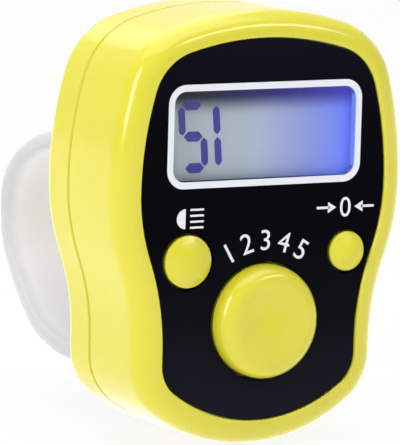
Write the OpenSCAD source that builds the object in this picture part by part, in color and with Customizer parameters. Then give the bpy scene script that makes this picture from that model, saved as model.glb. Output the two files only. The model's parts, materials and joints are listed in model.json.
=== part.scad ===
// Finger tally counter: a small electronic counter worn on a soft finger loop.
// Pieces are laid out as seen from the front: x to the right, y up, and depth
// measured back from the front of the rim. The finished part stands with +Z up,
// its face towards -Y and its origin on the axis of the finger loop.

/* [Case] */
// Overall width of the case
body_w = 32; // [30:0.5:33]
// Overall height of the case
body_h = 41.8; // [41:0.2:46]
// Depth of the case from the rim to the flat back
body_d = 15; // [14.8:0.2:18]
// Thickness of the side walls
wall = 1.5; // [1.2:0.1:1.8]
// Thickness of the back wall
back_t = 1.5; // [1.3:0.1:2]
// Width of the rim around the face
rim_w = 2.5; // [2.3:0.1:3]
// Radius of the rounding at the front of the rim
rim_round = 2.2; // [1.6:0.1:2.2]
// Radius of the rounding at the inner edge of the rim
lip_round = 0.2; // [0.1:0.05:0.2]
// Radius of the rounding at the back edge
back_round = 1.8; // [1:0.1:2.2]
// Depth at which the two shells meet
seam_depth = 9.8; // [9:0.1:10.5]
// Width of the groove that marks the seam
seam_groove = 0.3; // [0.1:0.05:0.4]

/* [Outline of the face] */
// Distance between the centres of the crown arc and a corner arc
crown_reach = 25; // [22:0.5:30]
// Distance between the centres of a corner arc and a side arc
side_reach = 28; // [24:0.5:32]
// How far each side draws in from the widest place to the waist
waist_in = 2.8; // [2:0.1:3]
// Radius of the hollow waist
waist_r = 25; // [20:1:30]
// Distance between the centres of the sole arc and a heel arc
sole_reach = 12; // [10:0.5:14]

/* [Face] */
// Depth of the face plate below the rim
face_inset = 0.25; // [0.1:0.05:0.4]
// Thickness of the face plate
face_t = 0.8; // [0.6:0.1:1]
// Thickness of the adhesive sheet under the face plate
tape_t = 0.1; // [0.1:0.05:0.2]
// Thickness of the front wall behind the face plate
plate_t = 1.35; // [1.2:0.05:1.6]

/* [Display] */
// Width of the case beside each end of the window
window_side = 5.95; // [5.8:0.05:7]
// Height of the clear window
window_h = 8.6; // [7:0.1:9]
// Distance of the window's centre below the top of the face
window_drop = 9.2; // [8.8:0.1:9.6]
// Corner radius of the window
window_round = 1.2; // [0.5:0.1:2]
// Width of the white border round the window
frame_w = 0.65; // [0.5:0.05:1]
// Thickness of the white border
frame_t = 0.2; // [0.15:0.05:0.3]
// Glass hidden beyond each end of the window
glass_lap = 0.95; // [0.75:0.05:1.1]
// Thickness of each display glass
glass_t = 0.7; // [0.5:0.05:0.8]
// Glass hidden above and below the window
glass_margin = 1.1; // [0.8:0.1:1.3]
// Height of the contact ledge below the rear glass
ledge_h = 1.6; // [1.4:0.1:1.8]
// Thickness of the light guide
guide_t = 1.2; // [0.8:0.1:1.4]

/* [Buttons] */
// Radius of the count button
count_r = 5.5; // [5:0.05:5.8]
// Height of the count button's centre above the bottom of the face
count_rise = 9.6; // [9.4:0.1:10]
// Distance of the count button's centre to the right of the middle of the face
count_shift = 0.35; // [0:0.05:0.5]
// How far the count button stands proud of the face
count_proud = 2; // [1.6:0.1:2.4]
// Radius of the count button's rounded shoulder
count_round = 1.6; // [0.6:0.1:1.6]
// Travel of the count button
count_travel = 0.5; // [0.3:0.05:0.6]
// Radius of the lamp button
lamp_r = 2.5; // [2.2:0.05:2.7]
// Distance of the lamp button's centre in from the widest place of the face
lamp_in = 5.35; // [4.9:0.05:5.6]
// Height of the lamp button's centre above the bottom of the face
lamp_rise = 15.7; // [15.2:0.1:16]
// Radius of the reset button
reset_r = 1.9; // [1.6:0.05:1.95]
// Distance of the reset button's centre in from the widest place of the face
reset_in = 4; // [3.9:0.1:4.6]
// Height of the reset button's centre above the bottom of the face
reset_rise = 15.9; // [15.4:0.1:16.1]
// How far the crowns of the small buttons stand proud of the face
small_proud = 0.8; // [0.8:0.1:1.5]
// Rise of the small buttons' domes
dome_rise = 0.7; // [0.4:0.05:0.8]
// Travel of the small buttons
small_travel = 0.4; // [0.3:0.05:0.6]
// Width of the bevel round each button's hole in the face plate
hole_edge = 0.15; // [0.1:0.05:0.2]
// Width of the flange that keeps a button in the case
flange_w = 0.65; // [0.5:0.05:0.7]
// Thickness of that flange
flange_t = 0.5; // [0.4:0.05:0.6]

/* [Board] */
// Depth of the board's front face
board_depth = 6; // [5.8:0.1:6.1]
// Thickness of the board
board_t = 0.8; // [0.6:0.1:1]
// Height of the switch housings above the board
switch_h = 2; // [1.8:0.1:2]
// Side of the count switch housing
count_switch_w = 6; // [5:0.5:7]
// Side of the small switch housings
small_switch_w = 4.5; // [4:0.5:5]
// Height of a switch plunger above its housing
plunger_rise = 0.6; // [0.5:0.05:0.7]
// Radius of the count switch plunger
count_plunger_r = 1.6; // [1.2:0.1:1.8]
// Radius of the small switch plungers
small_plunger_r = 1.1; // [0.9:0.1:1.3]
// Radius of the potted chip
chip_r = 3.6; // [3:0.1:4]
// Height of the potted chip
chip_h = 1.1; // [0.8:0.1:1.4]

/* [Battery] */
// Radius of a button cell
cell_r = 5.8; // [5.4:0.1:5.8]
// Height of a button cell
cell_h = 3.05; // [2.7:0.05:3.05]
// Height of the battery door's middle above the bottom of the face
door_rise = 14.2; // [14:0.1:14.4]
// Width of the case beside each end of the battery door
door_side = 5; // [4.8:0.1:5.3]
// Height of the battery door
door_h = 13.6; // [13:0.1:14]
// Thickness of the door's flange
door_t = 1; // [0.9:0.05:1.1]
// Depth of the plug under the door
plug_t = 0.4; // [0.3:0.05:0.4]
// Wall of the battery well
well_wall = 1; // [0.8:0.1:1.1]

/* [Screws] */
// Shank radius of every screw
screw_r = 0.7; // [0.6:0.05:0.8]
// Head radius of every screw
head_r = 1.4; // [1.2:0.05:1.5]
// Head height of every screw
head_h = 0.6; // [0.5:0.05:0.7]
// Wall round a screw hole in a boss
boss_wall = 0.85; // [0.7:0.05:0.9]
// Distance of the case screws in from the top and bottom of the case
case_screw_in = 3.5; // [3.4:0.05:3.6]
// Distance of the board screws in from the widest place of the face
board_screw_in = 4.5; // [4.3:0.1:4.7]
// Height of the board screws above the bottom of the face
board_screw_rise = 8.9; // [8.4:0.1:9.4]
// Distance of the door screws in from the ends of the door
door_screw_in = 2; // [1.9:0.1:2.1]

/* [Finger loop] */
// Inside radius of the loop's round end
loop_r = 7.3; // [7.2:0.05:7.4]
// Distance between the two legs of the band where they leave the case
leg_span = 18.6; // [18.4:0.1:19]
// Angle in degrees by which the lower leg falls as it leaves the case
leg_fall = 7.4; // [6.5:0.1:8.5]
// Thickness of the band
strap_t = 1.5; // [1.2:0.1:1.6]
// Width of the band
strap_w = 16; // [10:0.5:17]
// Distance from the flat back to the axis of the loop
loop_gap = 14.5; // [14:0.1:15]
// Height of the loop's axis above the middle of the battery door
loop_lift = 1.4; // [1.2:0.1:1.6]
// How far the hook on each end of the band reaches inwards
hook_w = 1.6; // [1.2:0.1:1.8]
// Thickness of the hook
hook_t = 1.4; // [1:0.1:2]

/* [Clearances] */
// Gap round each button in its hole
button_gap = 0.2; // [0.15:0.05:0.3]
// Gap between a button's flange and the wall that stops it
stop_gap = 0.08; // [0.05:0.01:0.15]
// Running gap of a plunger in its switch
plunger_gap = 0.05; // [0.03:0.01:0.08]
// Gap round pieces that drop into a pocket
fit_gap = 0.1; // [0.05:0.01:0.2]
// Gap between the two shells
seam_gap = 0.05; // [0.02:0.01:0.1]
// Gap round the band in its slots
slot_gap = 0.25; // [0.15:0.05:0.35]
// Gap between the cells and the well
cell_gap = 0.2; // [0.1:0.05:0.3]
// Gap between the edge of the board and the side wall
board_gap = 0.6; // [0.4:0.1:0.8]

/* [Hidden] */
$fn = 64;

// Spare length that lets a cut run clear of the faces it opens
over = 1;
// Overlap of pieces that are fused into one moulding
sunk = 0.3;

// Unit directions at which one outline arc runs into the next
crown_dir = [0.28, 0.96];
side_dir = [0.96, 0.28];
flank_dir = [0.936, -0.352];
sole_dir = [0.6, -0.8];
level_dir = [1, 0];
// Unit direction at which the loop's round end runs into its flatter stretch
belly_dir = [15 / 17, -8 / 17];

// Half sizes of the face outline, which is the case outline less the rim
face_hw = body_w / 2 - rim_w;
face_hh = body_h / 2 - rim_w;
foot_hw = face_hw - waist_in;

// Places on the face, measured from the middle of the case
window_y = face_hh - window_drop;
count_y = count_rise - face_hh;
lamp_y = lamp_rise - face_hh;
reset_y = reset_rise - face_hh;
lamp_x = lamp_in - face_hw;
reset_x = face_hw - reset_in;
cell_y = door_rise - face_hh;
loop_y = cell_y + loop_lift;

// Radii and centres of the face outline's arcs, each tangent to its neighbours
corner_r = face_hw - crown_dir[0] * crown_reach - (1 - side_dir[0]) * side_reach;
crown_r = corner_r + crown_reach;
side_r = corner_r + side_reach;
flank_span = waist_in / (1 - flank_dir[0]);
flank_r = flank_span - waist_r;
heel_r = foot_hw - sole_dir[0] * sole_reach;
sole_r = heel_r + sole_reach;
crown_c = [0, face_hh - crown_r];
corner_c = crown_c + crown_reach * crown_dir;
side_c = corner_c - side_reach * side_dir;
flank_c = [face_hw - flank_r, side_c[1]];
waist_c = flank_c + flank_span * flank_dir;
sole_c = [0, sole_r - face_hh];
heel_c = sole_c + sole_reach * sole_dir;

// Arcs of the right half from the crown down: centre, radius, 1 for a round or
// -1 for a hollow, and the outward directions at which the arc starts and ends
crown_arc = [crown_c, crown_r, 1, [-crown_dir[0], crown_dir[1]], crown_dir];
sole_arc = [sole_c, sole_r, 1, sole_dir, [-sole_dir[0], sole_dir[1]]];
side_arcs = [
    [corner_c, corner_r, 1, crown_dir, side_dir],
    [side_c, side_r, 1, side_dir, level_dir],
    [flank_c, flank_r, 1, level_dir, flank_dir],
    [waist_c, waist_r, -1, flank_dir, level_dir],
    [heel_c, heel_r, 1, level_dir, sole_dir]
];

// How far the wedges that cut out one arc reach in and out from the outline
wedge_in = 2;
wedge_in_hollow = 4;
wedge_out = 12;

// Depths of the faces that stack up behind the rim
face_depth = face_inset;
tape_depth = face_depth + face_t;
plate_depth = tape_depth + tape_t;
plate_back = plate_depth + plate_t;
board_back = board_depth + board_t;
back_inside = body_d - back_t;
switch_top = board_depth - switch_h;
plunger_top = switch_top - plunger_rise;
flange_depth = plate_back + stop_gap;
flange_back = flange_depth + flange_t;

// Inside of the tact switches
switch_corner = 0.4;
switch_floor = 0.2;
plunger_room = 0.1;
stem_wall = 0.4;

// Crown of the count button, moulded hollow round a central stem
dish_r = 38;
dish_d = 0.18;
cap_wall = 1.2;

// Small chip components in two rows beside the potted chip
chip_part = [1.6, 0.8, 0.5];
chip_part_pitch = 2.2;
chip_part_gap = 2.4;

// Display stack, which rests in the front wall's opening right behind the window
window_w = body_w - 2 * window_side;
glass_w = window_w + 2 * glass_lap;
glass_h = window_h + 2 * glass_margin;
glass_top = window_y + glass_h / 2;
front_glass_h = glass_h + ledge_h;
front_glass_depth = plate_depth + fit_gap;
rear_glass_depth = front_glass_depth + glass_t;
guide_depth = rear_glass_depth + glass_t + fit_gap;
guide_back = guide_depth + guide_t;
fence_t = 0.9;
led_w = 0.9;
led_h = 3;
guide_peg_r = 0.8;
guide_peg_inset = 2.2;
zebra_h = 1.2;

// Adhesive sheet, set in from the edge of the face plate and back from the window
tape_inset = 0.75;
tape_margin = 0.5;

// Side walls, measured outwards from the face outline
wall_in = rim_w - wall;
plate_lap = 1.5;
plate_reach = -0.6;
board_reach = wall_in - board_gap;

// Lip on the back shell that locates it inside the front shell
lip_t = 0.7;
lip_rise = 1.2;
lip_root = 1.5;

// Screws and their bosses
thread_gap = 0.05;
hole_r = screw_r + fit_gap;
boss_r = hole_r + boss_wall;
boss_gap = 2 * fit_gap;
counterbore_r = head_r + fit_gap;
post_wall = 0.6;
post_r = counterbore_r + post_wall;
case_screw_y = body_h / 2 - case_screw_in;
board_screw_x = face_hw - board_screw_in;
board_screw_y = board_screw_rise - face_hh;
case_screw_l = 7;
case_head_sunk = 2.4;
case_head_depth = body_d - case_head_sunk;
board_screw_l = 2.6;
door_screw_l = 4.4;
recess_w = 0.5;
recess_d = 0.35;
recess_edge = 0.4;

// Battery stack, from the door inwards
door_w = body_w - 2 * door_side;
door_screw_x = door_w / 2 - door_screw_in;
door_depth = body_d - door_t;
plug_depth = door_depth - plug_t;
cell_back = plug_depth - fit_gap;
cell_split = 0.05;
cell_front = cell_back - 2 * cell_h - cell_split;
cell_cap_in = 0.7;
cell_cap_h = 0.25;
well_r = cell_r + cell_gap;
well_clear = 0.4;
well_front = board_back + well_clear;
seat_depth = door_depth - seam_gap;
door_head_depth = body_d - head_h;

// Battery contacts, bent from thin strip
contact_t = 0.2;
contact_w = 3;
contact_gap = 0.05;
contact_foot = 2;
contact_short = 1;
leaf_w = 2.4;
leaf_half = 3;
leaf_rise = cell_front - board_back - contact_gap;
leaf_r = (leaf_half * leaf_half + leaf_rise * leaf_rise) / (2 * leaf_rise);

// Finger loop, laid out with depth first and height second: the ends of its legs'
// insides at the back, and its two arcs, each in the same form as the outline's
loop_depth = body_d + loop_gap;
hook_depth = back_inside - fit_gap - hook_t;
upper_end = [body_d, cell_y + leg_span / 2];
lower_end = [body_d, cell_y - leg_span / 2];
loop_c = [loop_depth, loop_y];
// Angle by which the upper leg falls on its way to the round end that it touches
upper_run = loop_c - upper_end;
upper_fall = atan2(-upper_run[1], upper_run[0]) - asin(loop_r / norm(upper_run));
loop_arc = [loop_c, loop_r, 1, [sin(upper_fall), cos(upper_fall)], belly_dir];
// The flatter stretch, of the one radius that touches both the round end and the lower leg
lower_dir = [-sin(leg_fall), -cos(leg_fall)];
belly_turn = belly_dir * lower_dir;
belly_r = (lower_dir * (lower_end - loop_c) - loop_r * belly_turn) / (1 - belly_turn);
belly_c = loop_c - (belly_r - loop_r) * belly_dir;
belly_arc = [belly_c, belly_r, 1, belly_dir, lower_dir];

// Draws children as a slab between two depths
module slab(from, to) {
    translate([0, 0, -to]) linear_extrude(to - from) children();
}

// Stands the laid-out part up on its finger-loop origin
module place() {
    translate([0, -loop_depth, -loop_y]) rotate([90, 0, 0]) children();
}

// Draws children on the right and mirrored on the left
module both_sides() {
    children();
    mirror([1, 0, 0]) children();
}

// Point where an arc's radius along a direction meets the outline moved out by d
function arc_point(arc, dir, d) = arc[0] + arc[2] * (arc[1] + arc[2] * d) * dir;

// Flat wedge that holds one arc of the outline
module arc_wedge(arc) {
    reach = arc[2] > 0 ? wedge_in : wedge_in_hollow;
    polygon([
        arc_point(arc, arc[3], -reach),
        arc_point(arc, arc[3], wedge_out),
        arc_point(arc, arc[4], wedge_out),
        arc_point(arc, arc[4], -reach)
    ]);
}

// Part of the flat outline, moved out by d, that belongs to one arc
module arc_region(arc, d) {
    if (arc[2] > 0) {
        intersection() {
            arc_wedge(arc);
            translate(arc[0]) circle(arc[1] + d, $fn = 192);
        }
    } else {
        difference() {
            arc_wedge(arc);
            translate(arc[0]) circle(arc[1] - d, $fn = 192);
        }
    }
}

// Whole flat outline of the face, moved out by d
module outline(d) {
    inner = -wedge_in / 2;
    starts = [for (i = [0:3]) arc_point(side_arcs[i], side_arcs[i][3], inner)];
    straight = [
        [foot_hw + inner, waist_c[1]], [foot_hw + d, waist_c[1]],
        [foot_hw + d, heel_c[1]], [foot_hw + inner, heel_c[1]]
    ];
    right = concat(starts, straight, [arc_point(sole_arc, sole_dir, inner)]);
    left = [for (i = [len(right) - 1:-1:0]) [-right[i][0], right[i][1]]];
    polygon(concat(right, left));
    arc_region(crown_arc, d);
    arc_region(sole_arc, d);
    both_sides() for (arc = side_arcs) arc_region(arc, d);
}

// Sweeps a flat profile, x outwards and y forwards, along one arc of the outline
module arc_sweep(arc) {
    intersection() {
        translate(arc[0]) rotate_extrude($fn = 192) translate([arc[1], 0])
            if (arc[2] > 0) children();
            else mirror([1, 0]) children();
        slab(-over, body_d + over) arc_wedge(arc);
    }
}

// Sweeps the profile all the way round the outline
module outline_sweep() {
    arc_sweep(crown_arc) children();
    arc_sweep(sole_arc) children();
    both_sides() {
        for (arc = side_arcs) arc_sweep(arc) children();
        translate([foot_hw, waist_c[1], 0]) rotate([90, 0, 0])
            linear_extrude(waist_c[1] - heel_c[1]) children();
    }
}

// Corner to cut away so that a rounding of radius r is left inside it
module round_off(r) {
    difference() {
        square(r + over);
        circle(r);
    }
}

// Rectangle with round corners, centred
module round_rect(w, h, r) {
    square([w - 2 * r, h], center = true);
    square([w, h - 2 * r], center = true);
    for (x = [-1, 1], y = [-1, 1])
        translate([x * (w / 2 - r), y * (h / 2 - r)]) circle(r);
}

// Puts children at every button: count, lamp and reset
module at_buttons() {
    translate([count_shift, count_y]) children(0);
    translate([lamp_x, lamp_y]) children(1);
    translate([reset_x, reset_y]) children(2);
}

// Holes for the three buttons
module button_holes() {
    at_buttons() {
        circle(count_r + button_gap);
        circle(lamp_r + button_gap);
        circle(reset_r + button_gap);
    }
}

// Puts children at the case screws above and below
module at_case_screws() {
    for (side = [-1, 1]) translate([0, side * case_screw_y]) children();
}

// Puts children at the two board screws
module at_board_screws() {
    both_sides() translate([board_screw_x, board_screw_y]) children();
}

// Puts children at the two door screws
module at_door_screws() {
    both_sides() translate([door_screw_x, cell_y]) children();
}

// Pan-head screw whose head's underside lies at the given depth, driven from behind
module screw(under_head, length) {
    recess_l = 2 * (head_r - recess_edge);
    slab(under_head - length, under_head) circle(screw_r - thread_gap);
    difference() {
        slab(under_head, under_head + head_h) circle(head_r);
        slab(under_head + head_h - recess_d, under_head + head_h + over) {
            square([recess_w, recess_l], center = true);
            square([recess_l, recess_w], center = true);
        }
    }
}

// Cross-section of the front shell's rim, side wall and the root of its front wall
module front_wall_profile() {
    difference() {
        union() {
            translate([wall_in, -seam_depth]) square([wall, seam_depth]);
            translate([0, -plate_back]) square([rim_w, plate_back]);
            translate([-plate_lap, -plate_back]) square([plate_lap + over, plate_t]);
        }
        translate([rim_w - rim_round, -rim_round]) round_off(rim_round);
        translate([lip_round, -lip_round]) mirror([1, 0]) round_off(lip_round);
        translate([rim_w, -seam_depth]) rotate(45) square(seam_groove, center = true);
    }
}

// Cross-section of the back shell's side wall, locating lip and root of its back wall
module back_wall_profile() {
    edge = seam_depth + seam_gap;
    lip_out = wall_in - seam_gap;
    difference() {
        union() {
            translate([wall_in, -body_d]) square([wall, body_d - edge]);
            translate([-plate_lap, -body_d]) square([plate_lap + rim_w, back_t]);
            translate([lip_out - lip_t, -edge - lip_root]) square([lip_t, lip_root + lip_rise]);
            translate([lip_out - lip_t, -edge - lip_root]) square([lip_t + sunk, lip_root]);
        }
        translate([rim_w - back_round, back_round - body_d]) mirror([0, 1]) round_off(back_round);
        translate([rim_w, -edge]) rotate(45) square(seam_groove, center = true);
    }
}

// Yellow front half of the case
module front_shell() color("gold") place() {
    opening = [glass_w + 2 * fit_gap, front_glass_h + 2 * fit_gap];
    opening_y = glass_top - front_glass_h / 2;
    fence = opening + 2 * [fence_t, fence_t];
    difference() {
        union() {
            outline_sweep() front_wall_profile();
            slab(plate_depth, plate_back) outline(plate_reach);
            slab(plate_back - sunk, guide_back) intersection() {
                translate([0, opening_y]) square(fence, center = true);
                outline(wall_in + sunk);
            }
            slab(plate_back - sunk, seam_depth - seam_gap) at_case_screws() circle(boss_r);
            slab(plate_back - sunk, board_depth) at_board_screws() circle(boss_r);
        }
        slab(plate_depth - over, plate_back + over) button_holes();
        slab(plate_depth - fit_gap, guide_back + over)
            translate([0, opening_y]) square(opening, center = true);
        slab(plate_back, seam_depth + over) {
            at_case_screws() circle(screw_r);
            at_board_screws() circle(screw_r);
        }
    }
}

// Yellow rear half of the case
module back_shell() color("gold") place() {
    slot = [strap_w + 2 * slot_gap, strap_t + 2 * slot_gap];
    notch = [2 * (contact_t + contact_gap + cell_gap + well_wall), contact_w + 2 * cell_gap];
    difference() {
        union() {
            outline_sweep() back_wall_profile();
            slab(back_inside, body_d) outline(plate_reach);
            slab(well_front, back_inside + sunk) translate([0, cell_y]) circle(well_r + well_wall);
            slab(door_head_depth - door_screw_l - sunk, back_inside + sunk)
                at_door_screws() circle(boss_r);
            slab(seam_depth, back_inside + sunk) at_case_screws() circle(post_r);
        }
        slab(well_front - over, body_d + over) translate([0, cell_y]) circle(well_r);
        slab(well_front - over, cell_back) translate([-well_r, cell_y]) square(notch, center = true);
        slab(seat_depth, body_d + over) door_outline(fit_gap);
        slab(door_head_depth - door_screw_l - over, body_d) at_door_screws() circle(screw_r);
        slab(seam_depth - lip_rise - over, seam_depth) at_case_screws() circle(boss_r + boss_gap);
        slab(seam_depth - over, body_d) at_case_screws() circle(hole_r);
        slab(case_head_depth, body_d + over) at_case_screws() circle(counterbore_r);
        slab(back_inside - over, body_d + over) for (side = [-1, 1])
            translate([0, cell_y + side * (leg_span + strap_t) / 2]) square(slot, center = true);
    }
}

// Flat outline of the battery door, grown by gap
module door_outline(gap) {
    end_r = door_h / 2 + gap;
    translate([0, cell_y]) {
        square([door_w - door_h, 2 * end_r], center = true);
        both_sides() translate([door_w / 2 - door_h / 2, 0]) circle(end_r);
    }
}

// Cone that bevels the front edge of a button's hole
module hole_bevel(r) {
    mouth = r + button_gap + hole_edge;
    translate([0, 0, -face_depth - mouth]) cylinder(h = mouth + over, r1 = 0, r2 = mouth + over);
}

// Glossy black face plate, grooved for the white border
module fascia_panel() color("black") place() difference() {
    slab(face_depth, tape_depth) difference() {
        outline(-fit_gap);
        button_holes();
        translate([0, window_y]) round_rect(window_w, window_h, window_round);
    }
    slab(face_depth - over, face_depth + frame_t) translate([0, window_y])
        round_rect(window_w + 2 * frame_w, window_h + 2 * frame_w, window_round + frame_w);
    at_buttons() {
        hole_bevel(count_r);
        hole_bevel(lamp_r);
        hole_bevel(reset_r);
    }
}

// Adhesive sheet under the face plate, open behind the buttons and the display
module fascia_tape() color("white") place() slab(tape_depth, plate_depth) difference() {
    outline(-tape_inset);
    at_buttons() {
        circle(count_r + 2 * button_gap);
        circle(lamp_r + 2 * button_gap);
        circle(reset_r + 2 * button_gap);
    }
    translate([0, window_y])
        square([window_w + 2 * tape_margin, window_h + 2 * tape_margin], center = true);
}

// White border printed round the window
module window_frame() color("white") place() slab(face_depth, face_depth + frame_t)
    translate([0, window_y]) difference() {
        round_rect(window_w + 2 * frame_w, window_h + 2 * frame_w, window_round + frame_w);
        round_rect(window_w, window_h, window_round);
    }

// Clear pane in the window
module window_lens() color("lightblue", 0.3) place() slab(face_depth, tape_depth)
    translate([0, window_y]) round_rect(window_w, window_h, window_round);

// Front glass of the display, with the contact ledge along its lower edge
module lcd_front_glass() color("slategray", 0.5) place()
    slab(front_glass_depth, rear_glass_depth)
        translate([-glass_w / 2, glass_top - front_glass_h]) square([glass_w, front_glass_h]);

// Rear glass of the display
module lcd_rear_glass() color("lightsteelblue") place()
    slab(rear_glass_depth, rear_glass_depth + glass_t)
        translate([-glass_w / 2, glass_top - glass_h]) square([glass_w, glass_h]);

// Clear plate that spreads the lamp's light behind the display, on two pegs
module light_guide() color("lavender") place() {
    guide_w = glass_w - led_w - 2 * fit_gap;
    guide_y = glass_top - glass_h;
    slab(guide_depth, guide_back) translate([-glass_w / 2, guide_y]) square([guide_w, glass_h]);
    slab(guide_back - sunk, board_depth) for (x = [guide_peg_inset, guide_w - guide_peg_inset])
        translate([x - glass_w / 2, glass_top - guide_peg_inset]) circle(guide_peg_r);
}

// Blue lamp that shines into the right end of the light guide
module backlight_led() color("royalblue") place() slab(guide_depth, board_depth)
    translate([glass_w / 2 - led_w, window_y - led_h / 2]) square([led_w, led_h]);

// Rubber contact strip between the display's ledge and the board
module zebra_strip() color("dimgray") place() slab(rear_glass_depth, board_depth)
    translate([fit_gap - glass_w / 2, glass_top - front_glass_h + fit_gap])
        square([glass_w - 2 * fit_gap, zebra_h]);

// Circuit board, notched round the case bosses
module pcb() color("seagreen") place() slab(board_depth, board_back) difference() {
    notch_r = boss_r + boss_gap;
    outline(board_reach);
    for (side = [-1, 1]) translate([0, side * case_screw_y]) {
        circle(notch_r);
        translate([0, side * notch_r]) square(2 * notch_r, center = true);
    }
    at_board_screws() circle(hole_r);
}

// Potted chip on the back of the board
module chip_blob() color("black") place() {
    blob_r = (chip_r * chip_r + chip_h * chip_h) / (2 * chip_h);
    translate([0, window_y, -board_back]) mirror([0, 0, 1]) rotate_extrude() intersection() {
        translate([0, chip_h - blob_r]) circle(blob_r);
        square([chip_r + over, chip_h]);
    }
}

// Small chip components on the back of the board
module smd_parts() color("tan") place() slab(board_back, board_back + chip_part[2])
    for (side = [-1, 1], row = [-1, 0, 1])
        translate([side * (chip_r + chip_part_gap), window_y + row * chip_part_pitch])
            square([chip_part[0], chip_part[1]], center = true);

// Tact switch housing with the bore for its plunger
module switch_housing(w, r) {
    difference() {
        slab(switch_top, board_depth) round_rect(w, w, switch_corner);
        slab(switch_top - over, board_depth - switch_floor) circle(r + plunger_gap);
    }
}

// Switch plunger, with room behind it for the button's travel
module switch_plunger(r, travel) {
    slab(plunger_top, board_depth - switch_floor - plunger_room - travel) circle(r);
}

// Housing of the count switch
module count_switch() color("dimgray") place() translate([count_shift, count_y])
    switch_housing(count_switch_w, count_plunger_r);

// Housing of the lamp switch
module lamp_switch() color("dimgray") place() translate([lamp_x, lamp_y])
    switch_housing(small_switch_w, small_plunger_r);

// Housing of the reset switch
module reset_switch() color("dimgray") place() translate([reset_x, reset_y])
    switch_housing(small_switch_w, small_plunger_r);

// Plunger of the count switch
module count_plunger() color("white") place() translate([count_shift, count_y])
    switch_plunger(count_plunger_r, count_travel);

// Plunger of the lamp switch
module lamp_plunger() color("white") place() translate([lamp_x, lamp_y])
    switch_plunger(small_plunger_r, small_travel);

// Plunger of the reset switch
module reset_plunger() color("white") place() translate([reset_x, reset_y])
    switch_plunger(small_plunger_r, small_travel);

// Shank, flange and stem below a button's crown, as half a cross-section
module button_root(r, stem_r) {
    translate([0, -flange_back]) square([r, flange_back - face_depth]);
    translate([0, -flange_back]) square([r + flange_w, flange_t]);
    translate([0, -plunger_top]) square([stem_r, plunger_top - flange_back + sunk]);
}

// Count button: a broad cap with a round shoulder and a slightly dished top
module count_button() color("gold") place() translate([count_shift, count_y]) {
    top = count_proud - face_depth;
    stem_r = count_plunger_r + stem_wall;
    hollow_in = stem_r + cap_wall;
    hollow_out = count_r - cap_wall;
    rotate_extrude($fn = 128) difference() {
        union() {
            translate([0, -tape_depth]) square([count_r, top + tape_depth]);
            button_root(count_r, stem_r);
        }
        translate([count_r - count_round, top - count_round]) round_off(count_round);
        translate([0, top - dish_d + dish_r]) intersection() {
            circle(dish_r, $fn = 256);
            translate([0, -dish_r - over]) square(dish_r);
        }
        translate([hollow_in, -flange_back - over])
            square([hollow_out - hollow_in, flange_back + over - face_depth]);
    }
}

// Small button with a domed crown
module small_button(r) {
    top = small_proud - face_depth;
    dome_r = (r * r + dome_rise * dome_rise) / (2 * dome_rise);
    rotate_extrude($fn = 96) {
        intersection() {
            translate([0, top - dome_r]) circle(dome_r, $fn = 192);
            translate([0, -tape_depth]) square([r, top + tape_depth]);
        }
        button_root(r, small_plunger_r + stem_wall);
    }
}

// Lamp button on the left
module lamp_button() color("gold") place() translate([lamp_x, lamp_y]) small_button(lamp_r);

// Reset button on the right
module reset_button() color("gold") place() translate([reset_x, reset_y]) small_button(reset_r);

// Two button cells, one behind the other
module battery_cells() color("silver") place() translate([0, cell_y]) for (i = [0, 1]) {
    front = cell_front + i * (cell_h + cell_split);
    slab(front + cell_cap_h, front + cell_h) circle(cell_r);
    slab(front, front + cell_cap_h + sunk) circle(cell_r - cell_cap_in);
}

// Arched leaf spring between the board and the first cell
module minus_spring() color("silver") place() translate([0, cell_y])
    rotate([0, 90, 0]) linear_extrude(leaf_w, center = true) intersection() {
        translate([board_back + leaf_rise - leaf_r, 0]) difference() {
            circle(leaf_r, $fn = 192);
            circle(leaf_r - contact_t, $fn = 192);
        }
        translate([board_back, -leaf_half - over]) square([leaf_rise + over, 2 * (leaf_half + over)]);
    }

// Side contact that touches the cells' cans
module plus_contact() color("silver") place() translate([-cell_r - contact_t - contact_gap, cell_y]) {
    slab(board_back, cell_back - contact_short)
        translate([0, -contact_w / 2]) square([contact_t, contact_w]);
    slab(board_back, board_back + contact_t)
        translate([-contact_foot, -contact_w / 2]) square([contact_foot + contact_t, contact_w]);
}

// Battery door: a flat flange with round ends, and a plug that holds the cells
module battery_door() color("gold") place() difference() {
    union() {
        slab(door_depth, body_d) door_outline(0);
        slab(plug_depth, door_depth + sunk) translate([0, cell_y]) circle(cell_r);
    }
    slab(seat_depth - over, body_d + over) at_door_screws() circle(hole_r);
    slab(door_head_depth, body_d + over) at_door_screws() circle(counterbore_r);
}

// The two screws of the battery door
module door_screws() color("silver") place() at_door_screws()
    screw(door_head_depth, door_screw_l);

// The two screws that hold the shells together
module case_screws() color("silver") place() at_case_screws() screw(case_head_depth, case_screw_l);

// The two screws that hold the board
module pcb_screws() color("silver") place() at_board_screws() screw(board_back, board_screw_l);

// Outline of the loop's bore, moved out by d, and closed at the case end by a list of points
module loop_outline(d, ends) {
    polygon(concat(ends, [
        [body_d + d * tan(upper_fall / 2), upper_end[1] + d],
        arc_point(loop_arc, loop_arc[3], d),
        arc_point(loop_arc, belly_dir, d),
        arc_point(belly_arc, belly_arc[4], d),
        [body_d + d * tan(leg_fall / 2), lower_end[1] - d]
    ]));
    arc_region(loop_arc, d);
    arc_region(belly_arc, d);
}

// Soft finger loop, whose ends pass through the back and hook behind it
module strap() color("whitesmoke") place() {
    top = upper_end[1];
    low = lower_end[1];
    outside = [[hook_depth, low - strap_t], [hook_depth, top + strap_t]];
    inside = [
        [hook_depth + hook_t, low], [hook_depth + hook_t, low + hook_w],
        [hook_depth - over, low + hook_w], [hook_depth - over, top - hook_w],
        [hook_depth + hook_t, top - hook_w], [hook_depth + hook_t, top]
    ];
    rotate([0, 90, 0]) linear_extrude(strap_w, center = true) difference() {
        loop_outline(strap_t, outside);
        loop_outline(0, inside);
    }
}

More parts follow.
